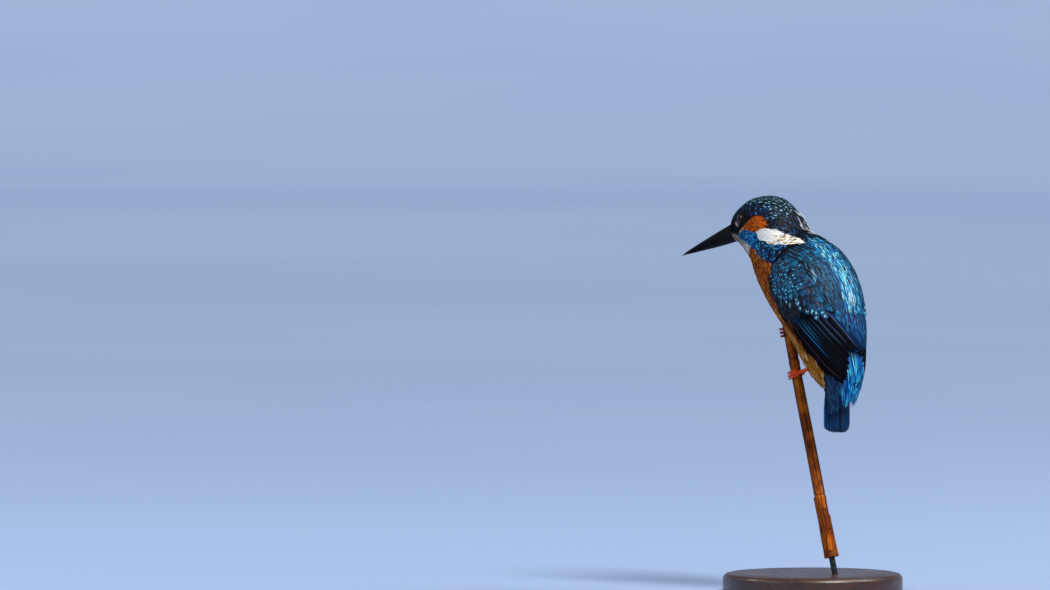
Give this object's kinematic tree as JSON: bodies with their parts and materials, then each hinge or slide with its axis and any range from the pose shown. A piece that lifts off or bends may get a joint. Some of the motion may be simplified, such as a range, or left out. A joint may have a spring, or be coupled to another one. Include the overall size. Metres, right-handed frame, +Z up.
{
  "type": "kingfisher model",
  "caption": "Life-size still model of a perched kingfisher with a long dagger bill and short tail, clinging to an upright cut reed on a round display base.",
  "frame": {"origin": "middle of the display base's underside, on the surface it stands on", "axes": "+Z up, -Y the way the bird's body faces, +X the bird's left; +Z is also the longest extent"},
  "size_m": [0.084, 0.123, 0.1853],
  "materials": {
    "plumage_head": "barred azure on blackish navy feathers, matt with a sheen",
    "plumage_breast": "rust-orange soft feathers, matt",
    "plumage_back": "brilliant azure feathers with a silky sheen",
    "plumage_wing": "dark teal feathers with small azure spots, satin",
    "plumage_quill": "dark navy flight and tail feathers, satin",
    "bill": "blackish horn, satin to glossy",
    "eye": "glossy blackish brown glass",
    "foot": "coral-red scaly skin, satin",
    "claw": "dark horn, satin",
    "reed": "dry orange-brown reed, fibrous",
    "stand_wood": "dark stained hardwood, satin varnish",
    "stand_steel": "plain round steel rod"
  },
  "bodies": {
    "root": {"head": "plumage_head", "neck": "plumage_head", "eye_left": "eye", "eye_right": "eye", "bill_upper": "bill", "bill_lower": "bill", "trunk": "plumage_breast", "hindquarters": "plumage_breast", "mantle": "plumage_back", "tail": "plumage_quill", "foot_left": "foot", "foot_right": "foot", "perch_reed": "reed", "stand_base": "stand_wood", "stand_rod": "stand_steel", "wing_left_coverts": "plumage_wing", "wing_left_scapulars": "plumage_wing", "wing_left_primaries": "plumage_quill", "wing_left_tertials": "plumage_quill", "claw_left_middle": "claw", "claw_left_outer": "claw", "claw_left_inner": "claw", "claw_left_hind": "claw", "wing_right_coverts": "plumage_wing", "wing_right_scapulars": "plumage_wing", "wing_right_primaries": "plumage_quill", "wing_right_tertials": "plumage_quill", "claw_right_middle": "claw", "claw_right_outer": "claw", "claw_right_inner": "claw", "claw_right_hind": "claw"}
  },
  "joints": []
}
